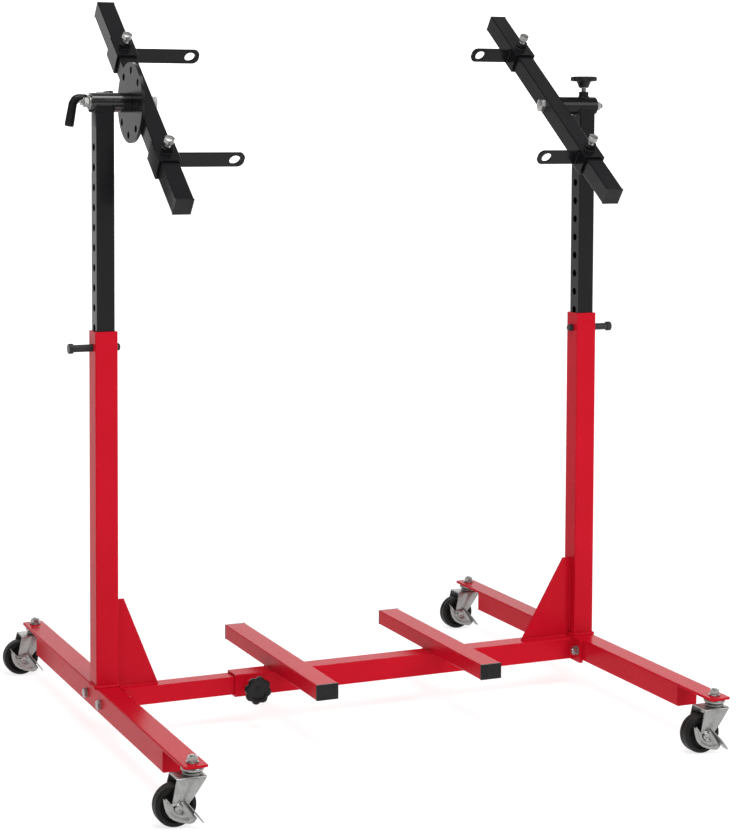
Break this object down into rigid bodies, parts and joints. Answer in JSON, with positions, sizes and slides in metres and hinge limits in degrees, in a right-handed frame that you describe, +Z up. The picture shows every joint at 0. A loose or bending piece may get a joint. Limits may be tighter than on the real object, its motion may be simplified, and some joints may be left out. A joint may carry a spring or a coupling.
{
  "type": "engine stand",
  "caption": "Rolling engine stand: telescoping crossbeam on castored feet, height-adjustable columns and turning heads with sliding arms that hold an engine between them.",
  "frame": {"origin": "on the floor, midway between the columns and under the crossbeam", "axes": "+X along the crossbeam towards the fixed half, +Y along the feet, +Z up"},
  "size_m": [1.3365, 1.2266, 1.6074],
  "materials": {
    "red_paint": "gloss",
    "black_paint": "gloss",
    "zinc": "zinc plated",
    "black_plastic": "moulded",
    "black_rubber": "moulded"
  },
  "bodies": {
    "right_frame": {"right_foot": "red_paint", "right_flange": "red_paint", "outer_beam": "red_paint", "cross_rail_1": "red_paint", "cross_rail_2": "red_paint", "cross_rail_caps": "black_plastic", "right_upright": "red_paint", "right_gusset": "red_paint", "right_flange_bolts": "zinc", "right_castor_stems": "zinc"},
    "left_frame": {"left_foot": "red_paint", "left_flange": "red_paint", "inner_beam": "red_paint", "left_upright": "red_paint", "left_gusset": "red_paint", "left_flange_bolts": "zinc", "left_castor_stems": "zinc"},
    "left_column_set": {"left_column": "black_paint", "left_sleeve": "black_paint", "index_pin_guide": "black_paint"},
    "right_column_set": {"right_column": "black_paint", "right_sleeve": "black_paint"},
    "left_head": {"left_bar": "black_paint", "left_bar_caps": "black_plastic", "left_spindle": "zinc", "index_disc": "black_paint"},
    "right_head": {"right_bar": "black_paint", "right_bar_caps": "black_plastic", "right_spindle": "zinc"},
    "beam_knob_set": {"beam_knob": "black_plastic"},
    "head_knob_set": {"head_knob": "black_plastic"},
    "left_pin_set": {"left_pull_pin": "zinc"},
    "right_pin_set": {"right_pull_pin": "zinc"},
    "index_pin_set": {"index_pin": "black_paint"},
    "carrier_left_upper": {"collar_left_upper": "black_paint", "arm_left_upper": "black_paint"},
    "set_bolt_left_upper_set": {"set_bolt_left_upper": "zinc"},
    "carrier_left_lower": {"collar_left_lower": "black_paint", "arm_left_lower": "black_paint"},
    "set_bolt_left_lower_set": {"set_bolt_left_lower": "zinc"},
    "carrier_right_upper": {"collar_right_upper": "black_paint", "arm_right_upper": "black_paint"},
    "set_bolt_right_upper_set": {"set_bolt_right_upper": "zinc"},
    "carrier_right_lower": {"collar_right_lower": "black_paint", "arm_right_lower": "black_paint"},
    "set_bolt_right_lower_set": {"set_bolt_right_lower": "zinc"},
    "castor_left_front": {"fork_left_front": "zinc"},
    "wheel_left_front_set": {"wheel_left_front": "black_rubber"},
    "brake_left_front_set": {"brake_left_front": "zinc"},
    "castor_left_rear": {"fork_left_rear": "zinc"},
    "wheel_left_rear_set": {"wheel_left_rear": "black_rubber"},
    "brake_left_rear_set": {"brake_left_rear": "zinc"},
    "castor_right_front": {"fork_right_front": "zinc"},
    "wheel_right_front_set": {"wheel_right_front": "black_rubber"},
    "brake_right_front_set": {"brake_right_front": "zinc"},
    "castor_right_rear": {"fork_right_rear": "zinc"},
    "wheel_right_rear_set": {"wheel_right_rear": "black_rubber"},
    "brake_right_rear_set": {"brake_right_rear": "zinc"}
  },
  "joints": [
    {"name": "beam_length", "type": "slide", "parent": "right_frame", "child": "left_frame", "axis": [1, 0, 0], "range_m": [-0.2, 0.16]},
    {"name": "left_height", "type": "slide", "parent": "left_frame", "child": "left_column_set", "axis": [0, 0, 1], "range_m": [-0.43, 0.086]},
    {"name": "left_pull_pin_slide", "type": "slide", "parent": "left_frame", "child": "left_pin_set", "axis": [-1, 0, 0], "range_m": [0, 0.1]},
    {"name": "left_head_turn", "type": "hinge", "parent": "left_column_set", "child": "left_head", "pos_m": [-0.59, 0, 1.378], "axis": [1, 0, 0], "continuous": true},
    {"name": "right_height", "type": "slide", "parent": "right_frame", "child": "right_column_set", "axis": [0, 0, 1], "range_m": [-0.43, 0.086]},
    {"name": "right_pull_pin_slide", "type": "slide", "parent": "right_frame", "child": "right_pin_set", "axis": [1, 0, 0], "range_m": [0, 0.1]},
    {"name": "right_head_turn", "type": "hinge", "parent": "right_column_set", "child": "right_head", "pos_m": [0.59, 0, 1.378], "axis": [1, 0, 0], "continuous": true},
    {"name": "index_pin_slide", "type": "slide", "parent": "left_column_set", "child": "index_pin_set", "axis": [1, 0, 0], "range_m": [0, 0.007]},
    {"name": "beam_knob_turn", "type": "hinge", "parent": "right_frame", "child": "beam_knob_set", "pos_m": [-0.262, -0.037, 0.089], "axis": [0, -1, 0], "range_deg": [-180, 180]},
    {"name": "head_knob_turn", "type": "hinge", "parent": "right_column_set", "child": "head_knob_set", "pos_m": [0.59, 0, 1.411], "axis": [0, 0, 1], "range_deg": [-180, 180]},
    {"name": "carrier_left_upper_slide", "type": "slide", "parent": "left_head", "child": "carrier_left_upper", "axis": [0, 0.788, 0.6157], "range_m": [-0.045, 0.14]},
    {"name": "set_bolt_left_upper_turn", "type": "hinge", "parent": "carrier_left_upper", "child": "set_bolt_left_upper_set", "pos_m": [-0.503, 0.11012, 1.5148], "axis": [0, -0.6157, 0.788], "range_deg": [-180, 180]},
    {"name": "carrier_left_lower_slide", "type": "slide", "parent": "left_head", "child": "carrier_left_lower", "axis": [0, -0.788, -0.6157], "range_m": [-0.065, 0.115]},
    {"name": "set_bolt_left_lower_turn", "type": "hinge", "parent": "carrier_left_lower", "child": "set_bolt_left_lower_set", "pos_m": [-0.503, -0.1775, 1.29008], "axis": [0, -0.6157, 0.788], "range_deg": [-180, 180]},
    {"name": "carrier_right_upper_slide", "type": "slide", "parent": "right_head", "child": "carrier_right_upper", "axis": [0, 0.809, 0.5878], "range_m": [-0.1, 0.105]},
    {"name": "set_bolt_right_upper_turn", "type": "hinge", "parent": "carrier_right_upper", "child": "set_bolt_right_upper_set", "pos_m": [0.503, 0.14315, 1.53144], "axis": [0, -0.5878, 0.809], "range_deg": [-180, 180]},
    {"name": "carrier_right_lower_slide", "type": "slide", "parent": "right_head", "child": "carrier_right_lower", "axis": [0, -0.809, -0.5878], "range_m": [-0.1, 0.11]},
    {"name": "set_bolt_right_lower_turn", "type": "hinge", "parent": "carrier_right_lower", "child": "set_bolt_right_lower_set", "pos_m": [0.503, -0.18532, 1.2928], "axis": [0, -0.5878, 0.809], "range_deg": [-180, 180]},
    {"name": "castor_left_front_swivel", "type": "hinge", "parent": "left_frame", "child": "castor_left_front", "pos_m": [-0.59, -0.575, 0.104], "axis": [0, 0, 1], "continuous": true},
    {"name": "wheel_left_front_spin", "type": "hinge", "parent": "castor_left_front", "child": "wheel_left_front_set", "pos_m": [-0.627, -0.575, 0.0415], "axis": [0, 1, 0], "continuous": true},
    {"name": "brake_left_front_press", "type": "hinge", "parent": "castor_left_front", "child": "brake_left_front_set", "pos_m": [-0.627, -0.6016, 0.0415], "axis": [0, 1, 0], "range_deg": [-20, 12]},
    {"name": "castor_left_rear_swivel", "type": "hinge", "parent": "left_frame", "child": "castor_left_rear", "pos_m": [-0.59, 0.575, 0.104], "axis": [0, 0, 1], "continuous": true},
    {"name": "wheel_left_rear_spin", "type": "hinge", "parent": "castor_left_rear", "child": "wheel_left_rear_set", "pos_m": [-0.627, 0.575, 0.0415], "axis": [0, 1, 0], "continuous": true},
    {"name": "brake_left_rear_press", "type": "hinge", "parent": "castor_left_rear", "child": "brake_left_rear_set", "pos_m": [-0.627, 0.5484, 0.0415], "axis": [0, 1, 0], "range_deg": [-20, 12]},
    {"name": "castor_right_front_swivel", "type": "hinge", "parent": "right_frame", "child": "castor_right_front", "pos_m": [0.59, -0.575, 0.104], "axis": [0, 0, 1], "continuous": true},
    {"name": "wheel_right_front_spin", "type": "hinge", "parent": "castor_right_front", "child": "wheel_right_front_set", "pos_m": [0.553, -0.575, 0.0415], "axis": [0, 1, 0], "continuous": true},
    {"name": "brake_right_front_press", "type": "hinge", "parent": "castor_right_front", "child": "brake_right_front_set", "pos_m": [0.553, -0.6016, 0.0415], "axis": [0, 1, 0], "range_deg": [-20, 12]},
    {"name": "castor_right_rear_swivel", "type": "hinge", "parent": "right_frame", "child": "castor_right_rear", "pos_m": [0.59, 0.575, 0.104], "axis": [0, 0, 1], "continuous": true},
    {"name": "wheel_right_rear_spin", "type": "hinge", "parent": "castor_right_rear", "child": "wheel_right_rear_set", "pos_m": [0.553, 0.575, 0.0415], "axis": [0, 1, 0], "continuous": true},
    {"name": "brake_right_rear_press", "type": "hinge", "parent": "castor_right_rear", "child": "brake_right_rear_set", "pos_m": [0.553, 0.5484, 0.0415], "axis": [0, 1, 0], "range_deg": [-20, 12]}
  ]
}
